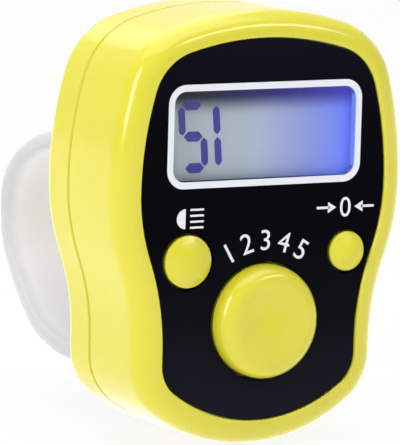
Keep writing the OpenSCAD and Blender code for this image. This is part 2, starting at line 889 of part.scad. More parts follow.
front_shell();
back_shell();
fascia_panel();
fascia_tape();
window_frame();
window_lens();
lcd_front_glass();
lcd_rear_glass();
light_guide();
backlight_led();
zebra_strip();
pcb();
chip_blob();
smd_parts();
count_switch();
lamp_switch();
reset_switch();
count_plunger();
lamp_plunger();
reset_plunger();
count_button();
lamp_button();
reset_button();
battery_cells();
minus_spring();
plus_contact();
battery_door();
door_screws();
case_screws();
pcb_screws();
strap();
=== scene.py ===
# %% [markdown]
# # A finger tally counter
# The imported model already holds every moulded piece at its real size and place, in metres. This
# lesson sets up a camera and a small studio, gives each piece a finish, and makes the soft finger
# loop, the figures in the display and the printed marks on the face. Places are taken from the
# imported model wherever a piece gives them, so what is added here fits it.

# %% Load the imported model
import json
import math
import bpy
from mathutils import Matrix, Vector


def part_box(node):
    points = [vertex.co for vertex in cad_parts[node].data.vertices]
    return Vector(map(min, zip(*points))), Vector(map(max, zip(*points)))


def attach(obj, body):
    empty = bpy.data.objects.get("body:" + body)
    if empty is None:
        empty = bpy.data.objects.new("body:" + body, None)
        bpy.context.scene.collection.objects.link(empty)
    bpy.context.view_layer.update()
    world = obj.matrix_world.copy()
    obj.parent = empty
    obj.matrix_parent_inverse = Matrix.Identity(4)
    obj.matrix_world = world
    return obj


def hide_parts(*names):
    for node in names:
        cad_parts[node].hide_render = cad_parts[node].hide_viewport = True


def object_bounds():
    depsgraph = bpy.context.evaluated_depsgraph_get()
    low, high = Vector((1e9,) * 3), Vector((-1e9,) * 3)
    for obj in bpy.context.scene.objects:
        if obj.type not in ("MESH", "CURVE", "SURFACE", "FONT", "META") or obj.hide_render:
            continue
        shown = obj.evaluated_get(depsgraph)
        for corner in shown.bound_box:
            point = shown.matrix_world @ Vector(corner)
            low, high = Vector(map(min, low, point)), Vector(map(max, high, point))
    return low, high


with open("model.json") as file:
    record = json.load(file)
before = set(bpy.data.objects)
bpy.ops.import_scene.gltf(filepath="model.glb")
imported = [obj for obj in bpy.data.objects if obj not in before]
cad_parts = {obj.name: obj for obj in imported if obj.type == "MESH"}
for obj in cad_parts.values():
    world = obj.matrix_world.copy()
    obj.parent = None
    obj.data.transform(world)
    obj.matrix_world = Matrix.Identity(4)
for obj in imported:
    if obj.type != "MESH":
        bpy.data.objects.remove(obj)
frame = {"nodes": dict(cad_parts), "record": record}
cad_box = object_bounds()
MM = 0.001


def middle(node, axis):
    """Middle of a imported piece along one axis: 0 across, 1 back, 2 up."""
    low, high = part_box(node)
    return (low[axis] + high[axis]) / 2


BACK_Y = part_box("back_shell")[1][1]
CASE_Z = middle("front_shell", 2)
DOOR_Z = middle("battery_door", 2)
print("pieces from the packed model:", len(frame["nodes"]))

# %% [markdown]
# ## The camera
# The photograph was taken with a long lens from the front left, a little above the middle of the
# case. A camera could be aimed with a Track To constraint, but that never rolls, and the
# photograph is turned by nearly two degrees. So the view is worked out from a few plain angles and
# lengths, and the camera's matrix is built from its own three directions.

# %% Place the camera
PHOTO_W, PHOTO_H = 400, 445
TURN, RISE, ROLL = (math.radians(angle) for angle in (31.0, 8.0, 1.75))
FOCAL_PX = 5000
DISTANCE = 480.8 * MM
AIM_DEPTH = 9 * MM
AIM = Vector((0, BACK_Y - AIM_DEPTH, CASE_Z))
AIM_PX = (231.8, 221.5)
NEAR_CLIP = 10 * MM

look = Vector((math.sin(TURN) * math.cos(RISE), math.cos(TURN) * math.cos(RISE), -math.sin(RISE)))
level = Vector((math.cos(TURN), -math.sin(TURN), 0))
upward = level.cross(look)
across = level * math.cos(ROLL) + upward * math.sin(ROLL)
upright = upward * math.cos(ROLL) - level * math.sin(ROLL)

# The aimed point isn't in the middle of the picture, so the middle lies a little beside it
off_x = (PHOTO_W / 2 - AIM_PX[0]) / FOCAL_PX
off_y = (PHOTO_H / 2 - AIM_PX[1]) / FOCAL_PX
back = -(look + across * off_x - upright * off_y).normalized()
across = upright.cross(back).normalized()
upright = back.cross(across)

bpy.ops.object.select_all(action="DESELECT")
bpy.ops.object.camera_add()
camera = bpy.context.object
camera.name = "camera"
turned = Matrix((across, upright, back)).transposed().to_4x4()
camera.matrix_world = Matrix.Translation(AIM - look * DISTANCE) @ turned
camera.data.lens = FOCAL_PX / PHOTO_H * camera.data.sensor_width
camera.data.clip_start = NEAR_CLIP
bpy.context.scene.camera = camera
bpy.context.scene.view_settings.view_transform = "Standard"
print("lens in millimetres:", round(camera.data.lens, 1))

# %% [markdown]
# ## Node sums written as Python
# A finish is a small tree of nodes. Wiring one by hand takes many lines, so a socket is wrapped in
# a class: a sum of two wrapped sockets adds a Math node, and one method adds any other node.

# %% A socket that can be used in a sum
class Flow:
    """One output of a node tree, which Python sums can use."""

    def __init__(self, tree, socket=None):
        self.tree = tree
        self.socket = socket

    def node(self, kind, settings=None, sockets=None, output=0):
        """Adds a node, sets it up, feeds its sockets and gives one of its outputs."""
        made = self.tree.nodes.new("ShaderNode" + kind)
        for name, value in (settings or {}).items():
            if name == "stops":
                set_stops(made.color_ramp, value)
            else:
                setattr(made, name, value)
        for key, value in (sockets or {}).items():
            if isinstance(value, Flow):
                self.tree.links.new(value.socket, made.inputs[key])
            else:
                made.inputs[key].default_value = value
        return Flow(self.tree, made.outputs[output] if len(made.outputs) else None)

    def also(self, output):
        """Another output of the same node."""
        return Flow(self.tree, self.socket.node.outputs[output])

    def sum(self, operation, first, second, clamp=False):
        """A Math node on two values."""
        settings = {"operation": operation, "use_clamp": clamp}
        return self.node("Math", settings, {0: first, 1: second})

    def __add__(self, other):
        return self.sum("ADD", self, other)

    def __rsub__(self, other):
        return self.sum("SUBTRACT", other, self)

    def __mul__(self, other):
        return self.sum("MULTIPLY", self, other)

    __radd__ = __add__
    __rmul__ = __mul__


def set_stops(ramp, stops):
    """Gives a colour ramp its stops, as pairs of a place and a colour."""
    while len(ramp.elements) < len(stops):
        ramp.elements.new(1)
    for element, (place, colour) in zip(ramp.elements, stops):
        element.position = place
        element.color = colour


def tint(red, green, blue):
    """A colour as a painting program shows it, turned into the linear one that shaders use."""
    def linear(part):
        part = part / 255
        return part / 12.92 if part <= 0.04045 else ((part + 0.055) / 1.055) ** 2.4
    return (linear(red), linear(green), linear(blue), 1)


print("white as a linear colour:", tint(255, 255, 255))

# %% [markdown]
# ## The studio
# The photograph has a plain white ground. A floor lit until it burns out would also bleach the
# yellow, so the floor is a pale matt sheet, and the eye mostly sees plain white there. The rest is
# the lit sheet, which keeps the soft shadow. A lit table is also brighter than white in a
# reflection and throws light back up, so other rays meet a glow there, and that brightens the
# lower edges of the glossy pieces.

# %% Floor
FLOOR_GAP = 0.2 * MM
FLOOR_Z = cad_box[0][2] - FLOOR_GAP
FLOOR_SIZE = 4
SHADOW_SHARE = 0.12
TABLE_GLOW = 1.7
BOUNCE_SHARE = 0.3
WHITE = (1, 1, 1, 1)
PALE_SHEET = tint(244, 244, 244)


def eye_rays(flow):
    """1 for rays that come from the camera, from a reflection or through glass, otherwise 0."""
    path = flow.node("LightPath", output="Is Camera Ray")
    mirrored = path.sum("MAXIMUM", path, path.also("Is Glossy Ray"))
    return path.sum("MAXIMUM", mirrored, path.also("Is Transmission Ray"))


def new_finish(name):
    """A material with an empty tree, and a Flow to grow the tree from."""
    finish = bpy.data.materials.new(name)
    finish.use_nodes = True
    finish.node_tree.nodes.clear()
    return finish, Flow(finish.node_tree)


def floor_sheet():
    finish, flow = new_finish("floor_sheet")
    lit = flow.node("BsdfDiffuse", sockets={"Color": PALE_SHEET})
    plain = flow.node("Emission", sockets={"Color": WHITE, "Strength": 1})
    glow = flow.node("Emission", sockets={"Color": WHITE, "Strength": TABLE_GLOW})
    share = eye_rays(flow) * (1 - SHADOW_SHARE)
    seen = flow.node("MixShader", sockets={0: share, 1: lit, 2: plain})
    path = flow.node("LightPath", output="Is Glossy Ray")
    thrown = path.sum("MAXIMUM", path, path.also("Is Diffuse Ray") * BOUNCE_SHARE)
    table = flow.node("MixShader", sockets={0: thrown, 1: seen, 2: glow})
    flow.node("OutputMaterial", sockets={"Surface": table})
    return finish


bpy.ops.mesh.primitive_plane_add(size=FLOOR_SIZE, location=(0, 0, FLOOR_Z))
floor = bpy.context.object
floor.name = "floor"
floor.data.materials.append(floor_sheet())
print("floor height in millimetres:", round(FLOOR_Z / MM, 2))

# %% [markdown]
# The room follows the same idea: it lights the pieces as a dim grey, and the eye and the
# reflections see plain white. A picture of a real studio could do this too, but two plain colours
# are easier to balance.

# %% Surroundings
ROOM_LIGHT = 0.08
world = bpy.data.worlds.new("studio")
bpy.context.scene.world = world
world.use_nodes = True
world.node_tree.nodes.clear()
room = Flow(world.node_tree)
grey = room.node("Background", sockets={"Color": (ROOM_LIGHT, ROOM_LIGHT, ROOM_LIGHT, 1)})
plain = room.node("Background", sockets={"Color": WHITE})
shown = room.node("MixShader", sockets={0: eye_rays(room), 1: grey, 2: plain})
room.node("OutputWorld", sockets={"Surface": shown})
print("light of the room, from 0 to 1:", ROOM_LIGHT)

# %% [markdown]
# ## Soft lamps
# Four soft boxes do what a product table does. A wide one overhead makes the top of the case the
# brightest. One at the left lights the side wall and draws a line down the left rim. A long, weak
# one at the front right draws the line along the top rim and over the count button. The fourth
# shines through the milky band from behind. Area lamps are used because their edges give soft
# highlights on rounded plastic.

# %% Lamps
# For each soft box its place and its size in metres, then its power in watts
LAMPS = {
    "overhead_box": ((-0.05, -0.05, 0.65), (0.9, 0.7), 4.1),
    "left_box": ((-0.65, -0.2, 0.28), (0.16, 0.4), 2.4),
    "front_box": ((0.32, -0.5, 0.42), (0.42, 0.08), 1.0),
    "rear_box": ((0.1, 0.45, 0.6), (0.6, 0.6), 1.6)
}

for name, (place, size, watts) in LAMPS.items():
    bpy.ops.object.light_add(type="AREA", location=place)
    lamp = bpy.context.object
    lamp.name = name
    lamp.data.shape = "RECTANGLE"
    lamp.data.size, lamp.data.size_y = size
    lamp.data.energy = watts
    lamp.rotation_euler = (AIM - Vector(place)).to_track_quat("-Z", "Y").to_euler()

# %% [markdown]
# ## Tools for finishes
# Every finish below is built from the same few tools: soft noise, a value that drifts, a place
# along an axis, a mix of two colours and a bump. A painted picture could hold all this too, but it
# would have to be unwrapped onto each piece. Noise on a piece's own coordinates needs no
# unwrapping and stays sharp from close by.

# %% Helpers for finishes
BUMP_STRENGTH = 0.5


def pattern(flow, size, detail=2.0):
    """Soft noise whose lumps are about one size across, from 0 to 1."""
    place = flow.node("TexCoord", output="Object")
    return flow.node("TexNoise", sockets={"Vector": place, "Scale": 1 / size, "Detail": detail})


def uneven(flow, low, high, size):
    """A value that drifts between two levels, in lumps of about one size."""
    return low + (high - low) * pattern(flow, size)


def along(flow, axis, low, high, kind="LINEAR"):
    """How far a point lies between two places on an axis, from 0 to 1."""
    place = flow.node("TexCoord", output="Object")
    way = flow.node("SeparateXYZ", sockets={0: place}, output=axis)
    settings = {"interpolation_type": kind}
    return flow.node("MapRange", settings, {"Value": way, "From Min": low, "From Max": high})


def between(flow, axis, low, high, soft):
    """1 between two places on an axis, falling to 0 over a soft distance outside them."""
    return along(flow, axis, low - soft, low) * (1 - along(flow, axis, high, high + soft))


def two_tone(flow, factor, low, high):
    """A colour that runs from low to high with the factor."""
    return flow.node("Mix", {"data_type": "RGBA"}, {0: factor, 6: low, 7: high}, output=2)


def grain(flow, height, depth):
    """A bumped surface direction from a pattern of heights."""
    sockets = {"Strength": BUMP_STRENGTH, "Distance": depth, "Height": height}
    return flow.node("Bump", sockets=sockets, output="Normal")


def surface(flow, **sockets):
    """A Principled shader wired to the output. Socket names are written with _ for each space."""
    named = {key.replace("_", " "): value for key, value in sockets.items()}
    shader = flow.node("BsdfPrincipled", sockets=named)
    flow.node("OutputMaterial", sockets={"Surface": shader})


print("strength of every bump:", BUMP_STRENGTH)

# %% [markdown]
# ## Moulded yellow plastic
# The case and buttons are injection mouldings in one yellow plastic. A mould leaves a very fine
# grain, flow makes the colour drift by a few parts in a hundred, and handling polishes some
# patches. So the finish has three patterns: a slow one for the colour, a middle one for the gloss,
# a fine one for the grain. Two marks go by place: the groove of the seam between the shells gets
# painted shade and a duller gloss, and the thumb rubs the middle of each button matt.

# %% Yellow finish
YELLOW = (tint(223, 213, 47), tint(228, 219, 55))
# Painted shade for the groove of the seam between the shells
SEAM_SHADE_YELLOW = tint(186, 176, 42)
SEAM_DEPTH = 5.2 * MM
SEAM_Y = BACK_Y - SEAM_DEPTH
FADE_REACH = 0.3 * MM
BUTTONS = ("count_button", "lamp_button", "reset_button")
RUB_REACH = 2.5 * MM
WEAR_ROUGH = 0.5
face_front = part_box("fascia_panel")[0][1]


def thumb_rub(flow):
    """1 in the middle of each button's dome, falling to 0 a little way out."""
    spots = []
    for button in BUTTONS:
        x, z = middle(button, 0), middle(button, 2)
        spots.append(between(flow, "X", x, x, RUB_REACH) * between(flow, "Z", z, z, RUB_REACH))
    return sum(spots) * (1 - along(flow, "Y", face_front, face_front + FADE_REACH))


def yellow_plastic():
    finish, flow = new_finish("yellow_plastic")
    clean = two_tone(flow, pattern(flow, size=6 * MM), *YELLOW)
    # Painted shade: the yellow darkens in the groove of the seam between the shells, and the groove
    # is also duller
    seam_shade = between(flow, "Y", SEAM_Y, SEAM_Y, FADE_REACH)
    colour = two_tone(flow, seam_shade, clean, SEAM_SHADE_YELLOW)
    polish = uneven(flow, low=0.14, high=0.2, size=2.5 * MM)
    gloss = polish + WEAR_ROUGH * seam_shade + WEAR_ROUGH * thumb_rub(flow)
    mould_grain = grain(flow, pattern(flow, size=0.12 * MM, detail=3), depth=0.004 * MM)
    surface(flow, Base_Color=colour, Roughness=gloss, Normal=mould_grain)
    return finish


finishes = {"yellow_plastic": yellow_plastic()}
print("finishes so far:", list(finishes))

# %% [markdown]
# ## The face
# The face plate is a black gloss sheet, and its printed border and marks are white ink. A black
# gloss sheet is hard to light, since it is mostly what it reflects, so its mirror level is set
# low. A slow change of tone up the face, palest at both ends, is a painted reflection of the pale
# table in front of it. At the right end of its window the display's lamp shines on the cut edge,
# so a thin strip there is given a painted blue glow for that light. Ink lies on the sheet with a
# slightly rough skin.

# %% Black sheet and white ink
BLACK = (0, 0, 0, 1)
# A painted blue glow that stands for the display lamp's light
PAINTED_BLUE_LIGHT = (0.16, 0.22, 0.62, 1)
PRINT_WHITE = (tint(234, 236, 245), tint(243, 245, 251))
# Painted reflection of the table, from the bottom of the face to its top
FACE_PAINTED_REFLECTION = (
    (0.0, tint(27, 27, 39)), (0.25, tint(14, 14, 24)), (0.5, tint(1, 1, 7)),
    (0.8, tint(3, 2, 10)), (1.0, tint(17, 15, 27))
)
FACE_MIRROR = 0.02
CUT_EDGE = 0.1 * MM
pane_low, pane_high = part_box("window_lens")


def face_black():
    finish, flow = new_finish("face_black")
    low, high = (corner[2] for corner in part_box("fascia_panel"))
    # Painted reflection: the black is palest at the bottom and the top of the face
    colour = flow.node("ValToRGB", {"stops": FACE_PAINTED_REFLECTION}, {"Fac": along(flow, "Z", low, high)})
    # Painted light: a thin strip on the cut edge at the right end of the window glows blue, for the
    # display's lamp
    painted_lamp_strip = between(flow, "X", pane_high[0], pane_high[0] + CUT_EDGE, CUT_EDGE)
    painted_lamp_strip = painted_lamp_strip * between(flow, "Z", pane_low[2], pane_high[2], CUT_EDGE)
    glow = two_tone(flow, painted_lamp_strip, BLACK, PAINTED_BLUE_LIGHT)
    gloss = uneven(flow, low=0.1, high=0.16, size=1.5 * MM)
    waves = grain(flow, pattern(flow, size=4 * MM), depth=0.004 * MM)
    surface(
        flow, Base_Color=colour, Roughness=gloss, Normal=waves, Specular_IOR_Level=FACE_MIRROR,
        Emission_Color=glow, Emission_Strength=1
    )
    return finish


def border_white():
    finish, flow = new_finish("border_white")
    colour = two_tone(flow, pattern(flow, size=1.2 * MM), *PRINT_WHITE)
    gloss = uneven(flow, low=0.45, high=0.55, size=0.5 * MM)
    screen = grain(flow, pattern(flow, size=0.08 * MM), depth=0.003 * MM)
    surface(flow, Base_Color=colour, Roughness=gloss, Normal=screen)
    return finish


finishes["face_black"] = face_black()
finishes["border_white"] = border_white()
print("finishes so far:", len(finishes))

# %% [markdown]
# ## The display
# A liquid crystal cell looks like satin grey-green glass. Here a blue lamp shines in from its
# right end, so the blue grows from the middle to the right, and the deep edge of the window leaves
# the top of the cell in shade. Both follow the display itself and not the camera, so they are
# painted by place on the cell.

# %% Display cell
CELL_TONES = (
    (0.0, tint(184, 194, 201)), (0.5, tint(181, 194, 206)),
    (0.75, tint(149, 161, 199)), (1.0, tint(102, 118, 183))
)
LAMP_TONES = ((0.35, BLACK), (0.75, (0.02, 0.03, 0.2, 1)), (1.0, (0.04, 0.08, 0.55, 1)))
SHADED_CELL = tint(4, 2, 18)
SHADED_GLOW = (0.06, 0.05, 0.45, 1)
SHADE_FROM, SHADE_FULL = 2.6 * MM, 0.5 * MM
SIDE_REACH = 0.7 * MM
SIDE_SHARE = 0.5
CELL_MIRROR = 0.1


def lamp_run(flow):
    """0 at the left end of the display, 1 at its right end, where the lamp is."""
    return along(flow, "X", pane_low[0], pane_high[0])


def display_glass():
    finish, flow = new_finish("display_glass")
    run = lamp_run(flow)
    cell = flow.node("ValToRGB", {"stops": CELL_TONES}, {"Fac": run})
    lit = flow.node("ValToRGB", {"stops": LAMP_TONES}, {"Fac": run})
    shade = along(flow, "Z", pane_high[2] - SHADE_FROM, pane_high[2] - SHADE_FULL, "SMOOTHSTEP")
    # Painted shade also darkens the left end of the cell, at half strength
    side = 1 - along(flow, "X", pane_low[0], pane_low[0] + SIDE_REACH)
    dark = shade.sum("MAXIMUM", shade, SIDE_SHARE * side, True)
    colour = two_tone(flow, dark, cell, SHADED_CELL)
    glow = two_tone(flow, dark, lit, two_tone(flow, run * run, BLACK, SHADED_GLOW))
    satin = uneven(flow, low=0.35, high=0.45, size=0.3 * MM)
    surface(
        flow, Base_Color=colour, Roughness=satin, Specular_IOR_Level=CELL_MIRROR,
        Emission_Color=glow, Emission_Strength=1
    )
    return finish


finishes["display_glass"] = display_glass()
print("stops along the cell:", len(CELL_TONES))

# %% [markdown]
# The pane in front is thin clear plastic. A glass shader would bend the light, which such a thin
# pane hardly does, so the pane is made nearly see-through by its alpha, with faint smears. Only
# its sawn edges are cloudy; towards the right end they are painted blue and given a painted blue
# glow for the lamp's light. Behind the cell a milky plate spreads that light from a small blue
# lamp, and it is painted bluer towards the lamp.

# %% Pane, light guide and lamp
# Painted light: the sawn edges run from their own pale grey to the lamp's blue at the right end
SAWN_PAINTED_BLUE_TONES = (tint(190, 196, 206), tint(120, 140, 236))
SAWN_ROUGH = 0.4
# Painted light: the guide plate runs from pale to the lamp's blue at the right end
GUIDE_PAINTED_BLUE_TONES = (tint(206, 214, 236), tint(150, 170, 246))
LAMP_BLUES = (tint(40, 60, 220), tint(90, 120, 250))


def clear_pane():
    finish, flow = new_finish("clear_pane")
    run = lamp_run(flow)
    facing = flow.node("TexCoord", output="Normal")
    front = flow.node("SeparateXYZ", sockets={0: facing}, output="Y")
    sawn_edge = 1 - front.sum("MULTIPLY", front, front, True)
    smear = uneven(flow, low=0.02, high=0.05, size=3 * MM)
    clouded = smear.sum("MAXIMUM", smear, sawn_edge)
    # Painted light: towards the lamp's end the sawn edges are painted blue and given a blue glow
    colour = two_tone(flow, run, *SAWN_PAINTED_BLUE_TONES)
    gloss = uneven(flow, low=0.04, high=0.08, size=2 * MM) + SAWN_ROUGH * sawn_edge
    glow = two_tone(flow, run * run * run * sawn_edge, BLACK, PAINTED_BLUE_LIGHT)
    surface(
        flow, Base_Color=colour, Roughness=gloss, Alpha=clouded,
        Emission_Color=glow, Emission_Strength=1
    )
    return finish


def light_plastic():
    finish, flow = new_finish("light_plastic")
    # Painted light: the plate is painted bluer towards the lamp's end
    colour = two_tone(flow, lamp_run(flow), *GUIDE_PAINTED_BLUE_TONES)
    surface(flow, Base_Color=colour, Roughness=uneven(flow, low=0.25, high=0.35, size=1 * MM))
    return finish


def lamp_blue():
    finish, flow = new_finish("lamp_blue")
    colour = two_tone(flow, pattern(flow, size=0.6 * MM), *LAMP_BLUES)
    surface(flow, Base_Color=colour, Roughness=uneven(flow, low=0.2, high=0.3, size=0.6 * MM))
    return finish


for make in (clear_pane, light_plastic, lamp_blue):
    finishes[make.__name__] = make()
print("finishes so far:", len(finishes))

# %% [markdown]
# ## Metals, board and the rest inside
# Behind the door are nickel cells, tinned contacts and zinc screws, and inside the case are the
# board, its chips and the switches. Each metal is the same recipe with its own colour and its own
# scale of brushing. The dull pieces share a recipe too: two near tones, a roughness that drifts,
# and a fine grain.

# %% Metal and dull finishes
ROUGH_DRIFT = 0.15


def metal(name, dark, bright, lump, rough):
    finish, flow = new_finish(name)
    tone = pattern(flow, size=lump * MM, detail=4)
    gloss = rough + ROUGH_DRIFT * tone
    brushed = grain(flow, pattern(flow, size=0.1 * MM), depth=0.002 * MM)
    colour = two_tone(flow, tone, dark, bright)
    surface(flow, Base_Color=colour, Roughness=gloss, Metallic=1.0, Normal=brushed)
    return finish


def dull(name, dark, bright, lump, rough):
    finish, flow = new_finish(name)
    tone = pattern(flow, size=lump * MM, detail=3)
    gloss = rough + ROUGH_DRIFT * tone
    skin = grain(flow, pattern(flow, size=0.15 * MM, detail=3), depth=0.006 * MM)
    surface(flow, Base_Color=two_tone(flow, tone, dark, bright), Roughness=gloss, Normal=skin)
    return finish


for name, dark, bright, lump, rough in (
    ("cell_steel", tint(186, 186, 188), tint(212, 212, 213), 0.8, 0.22),
    ("contact_steel", tint(182, 180, 174), tint(206, 204, 198), 0.5, 0.26),
    ("screw_steel", tint(168, 168, 172), tint(198, 198, 202), 0.4, 0.3),
):
    finishes[name] = metal(name, dark, bright, lump, rough)

for name, dark, bright, lump, rough in (
    ("adhesive", tint(226, 226, 220), tint(238, 238, 233), 1.5, 0.6),
    ("contact_rubber", tint(34, 34, 36), tint(44, 44, 47), 0.6, 0.7),
    ("board_green", tint(24, 92, 46), tint(36, 116, 62), 1.0, 0.35),
    ("dark_resin", tint(20, 20, 21), tint(30, 30, 31), 0.8, 0.4),
    ("chip_ceramic", tint(150, 118, 82), tint(170, 138, 100), 0.3, 0.5),
    ("plunger_white", tint(232, 232, 228), tint(242, 242, 239), 0.7, 0.4),
):
    finishes[name] = dull(name, dark, bright, lump, rough)
print("finishes so far:", len(finishes))

# %% [markdown]
# ## Soft white silicone
# The finger loop is a wide band of milky silicone. Light enters it and comes out a little way off,
# which is why its shadows are soft and its inside is never dark, so all of its light is taken
# below the skin. Its skin is matt, with a fine grain. The edges and the lower side get painted
# shade, which makes them greyer.

# %% Silicone finish, and every imported piece dressed
MILKY = (tint(233, 232, 249), tint(239, 238, 253))
# Painted shade for the lower side and for the edges of the band
PAINTED_SHADE_BELOW = tint(204, 203, 216)
PAINTED_SHADE_EDGES = tint(182, 182, 189)
SHADE_BELOW_REACH = 9 * MM
EDGE_FROM, EDGE_FULL = 6.5 * MM, 7.9 * MM
LIGHT_REACH = 8 * MM


def loop_silicone():
    finish, flow = new_finish("loop_silicone")
    clean = two_tone(flow, pattern(flow, size=5 * MM), *MILKY)
    # Painted shade: the band is painted greyer towards its lower side and along both edges
    shaded_below = two_tone(flow, along(flow, "Z", DOOR_Z - SHADE_BELOW_REACH, DOOR_Z), PAINTED_SHADE_BELOW, clean)
    right_edge = along(flow, "X", EDGE_FROM, EDGE_FULL)
    edges = right_edge.sum("MAXIMUM", right_edge, along(flow, "X", -EDGE_FROM, -EDGE_FULL))
    colour = two_tone(flow, edges, shaded_below, PAINTED_SHADE_EDGES)
    gloss = uneven(flow, low=0.5, high=0.62, size=1.5 * MM)
    skin = grain(flow, pattern(flow, size=0.2 * MM, detail=3), depth=0.006 * MM)
    surface(
        flow, Base_Color=colour, Roughness=gloss, Normal=skin, Subsurface_Weight=1.0,
        Subsurface_Radius=(1, 1, 1), Subsurface_Scale=LIGHT_REACH
    )
    return finish


finishes["loop_silicone"] = loop_silicone()
for part in frame["record"]["subparts"]:
    mesh = frame["nodes"][part["node"]].data
    mesh.materials.clear()
    mesh.materials.append(finishes[part["material_slot"]])

# %% [markdown]
# ## The finger loop
# The real band is pushed through two slots in the back, where hooks hold it, and it hangs in a
# round that is fuller above and flatter below. A swept profile would need a second curve. A ribbon
# is simpler: a flat Bezier line follows the middle of the band, its extrusion makes the width, and
# Solidify makes the thickness. The line starts as a short piece in the upper slot, and each
# further point is extruded from the last. Points are counted from the flat back and from the
# middle of the battery door, which lies midway between the slots.

# %% Draw the band's middle line and make it a ribbon
BAND_WIDTH = 16 * MM
BAND_THICK = 1.5 * MM
SLOT_DEPTH = 3 * MM
LEG = 10.05 * MM
CURVE_STEPS = 8
# Points in millimetres, back from the case and up from the middle of the door
ROUND = (
    (6.4, 10.05), (12.7, 9.9), (15.7, 9.15), (18.5, 7.95), (20.9, 6.2), (22.4, 3.8), (22.45, 0.95),
    (21.75, -1.95), (20.1, -4.45), (18.1, -6.8), (15.8, -8.8), (13.05, -10.0), (10.05, -10.6),
    (7.0, -10.65), (3.8, -10.4), (0, -10.05), (-3, -10.05)
)


def finish_piece(piece, name, body, slot, finish=None):
    """Names a new piece, gives it its finish and lets it ride on a body."""
    piece.name = name
    piece.data.name = name
    piece.data.materials.clear()
    piece.data.materials.append(finish or finishes[slot])
    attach(piece, body)


def add_modifier(piece, kind, **settings):
    """Adds a modifier with its settings and applies it to the mesh."""
    modifier = piece.modifiers.new(kind.lower(), kind)
    for name, value in settings.items():
        setattr(modifier, name, value)
    bpy.ops.object.modifier_apply(modifier=modifier.name)


bpy.ops.object.select_all(action="DESELECT")
bpy.ops.curve.primitive_bezier_curve_add(radius=SLOT_DEPTH / 2, location=(-SLOT_DEPTH / 2, LEG, 0))
band = bpy.context.object
bpy.ops.object.mode_set(mode="EDIT")
bpy.ops.curve.select_all(action="DESELECT")
tip = band.data.splines[0].bezier_points[-1]
tip.select_control_point = tip.select_left_handle = tip.select_right_handle = True
here = Vector((0, LEG, 0))
for point in ROUND:
    there = Vector((point[0], point[1], 0)) * MM
    bpy.ops.curve.extrude_move(TRANSFORM_OT_translate={"value": there - here})
    here = there
bpy.ops.curve.select_all(action="SELECT")
bpy.ops.curve.handle_type_set(type="AUTOMATIC")
bpy.ops.object.mode_set(mode="OBJECT")
band.data.dimensions = "2D"
band.data.extrude = BAND_WIDTH / 2
band.data.resolution_u = CURVE_STEPS
bpy.ops.object.convert(target="MESH")
print("points along the ribbon:", len(band.data.vertices) // 2)

# %% [markdown]
# The ribbon was drawn flat, so it is stood up next: what was drawn to the right runs back, and
# what was drawn up stays up. Then it gets its thickness, the hooks that hold it inside the case,
# and soft edges.

# %% Stand the ribbon up and thicken it
bpy.ops.object.transform_apply(location=True, rotation=False, scale=False)
band.rotation_euler = (math.radians(90), 0, math.radians(90))
band.location = (0, BACK_Y, DOOR_Z)
bpy.ops.object.transform_apply(location=True, rotation=True, scale=False)
add_modifier(band, "SOLIDIFY", thickness=BAND_THICK, offset=0, use_even_offset=True)

HOOK_DEPTH = 1.9 * MM
HOOK_REACH = 1.6 * MM
HOOK_Y = BACK_Y - HOOK_DEPTH
SQUARELY = 0.9
SOFT_EDGE = 0.35 * MM
SHARP = math.radians(50)
SMOOTH = math.radians(40)


def select_faces(piece, wanted):
    """Leaves a piece in edit mode with only the wanted faces selected."""
    bpy.ops.object.mode_set(mode="EDIT")
    bpy.ops.mesh.select_mode(type="FACE")
    bpy.ops.mesh.select_all(action="DESELECT")
    bpy.ops.object.mode_set(mode="OBJECT")
    for face in piece.data.polygons:
        face.select = wanted(face)
    bpy.ops.object.mode_set(mode="EDIT")


def is_hook_root(face, side):
    """True for a face at a leg's end that looks towards the other leg."""
    inward = face.normal.z * side < -SQUARELY
    return inward and face.center.y < HOOK_Y and (face.center.z - DOOR_Z) * side > 0


for side in (1, -1):
    select_faces(band, lambda face: is_hook_root(face, side))
    bpy.ops.mesh.extrude_region_move(TRANSFORM_OT_translate={"value": (0, 0, -side * HOOK_REACH)})
    bpy.ops.object.mode_set(mode="OBJECT")

add_modifier(
    band, "BEVEL", width=SOFT_EDGE, segments=3, limit_method="ANGLE", angle_limit=SHARP
)
bpy.ops.object.shade_smooth_by_angle(angle=SMOOTH)
finish_piece(band, "finger_band", "case", "loop_silicone")
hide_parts("strap")
print("faces of the band:", len(band.data.polygons))

# %% [markdown]
# ## Figures in the display
# Each figure is made of up to seven bars with pointed ends, and the whole figure leans a little. A
# bar could be drawn as text, but no plain letter form looks like it. So a short function models one
# flat bar: a plane is stretched, and a vertex bevel cuts its corners until the ends come to a
# point. Every bar of the figures comes from it.

# %% Model one bar
LEVEL_THICK = 0.95 * MM
TALL_THICK = 0.72 * MM
BAR_DEEP = 0.03 * MM
FIGURE_W = 2.3 * MM
HALF_H = 3.0 * MM
BAR_GAP = 0.3 * MM
LEAN = math.radians(4.9)
POINTING = 0.46


def new_bar(length, thick):
    """A flat bar with pointed ends, lying along X round the origin."""
    bpy.ops.object.select_all(action="DESELECT")
    bpy.ops.mesh.primitive_plane_add(size=1)
    bpy.ops.object.mode_set(mode="EDIT")
    bpy.ops.transform.resize(value=(length, thick, 1))
    bpy.ops.mesh.bevel(offset=POINTING * thick, affect="VERTICES")
    bpy.ops.object.mode_set(mode="OBJECT")
    return bpy.context.object


def stand_up(piece, x, y, z, turn=0.0):
    """Turns a flat piece in its own plane, stands it up facing the front and puts it in place."""
    bpy.ops.object.select_all(action="DESELECT")
    piece.select_set(True)
    bpy.context.view_layer.objects.active = piece
    piece.rotation_euler = (math.radians(90), -turn, 0)
    piece.location = (x, y, z)
    bpy.ops.object.transform_apply(location=True, rotation=True, scale=True)


trial = new_bar(FIGURE_W, LEVEL_THICK)
print("corners of a bar:", len(trial.data.vertices))
bpy.data.objects.remove(trial)

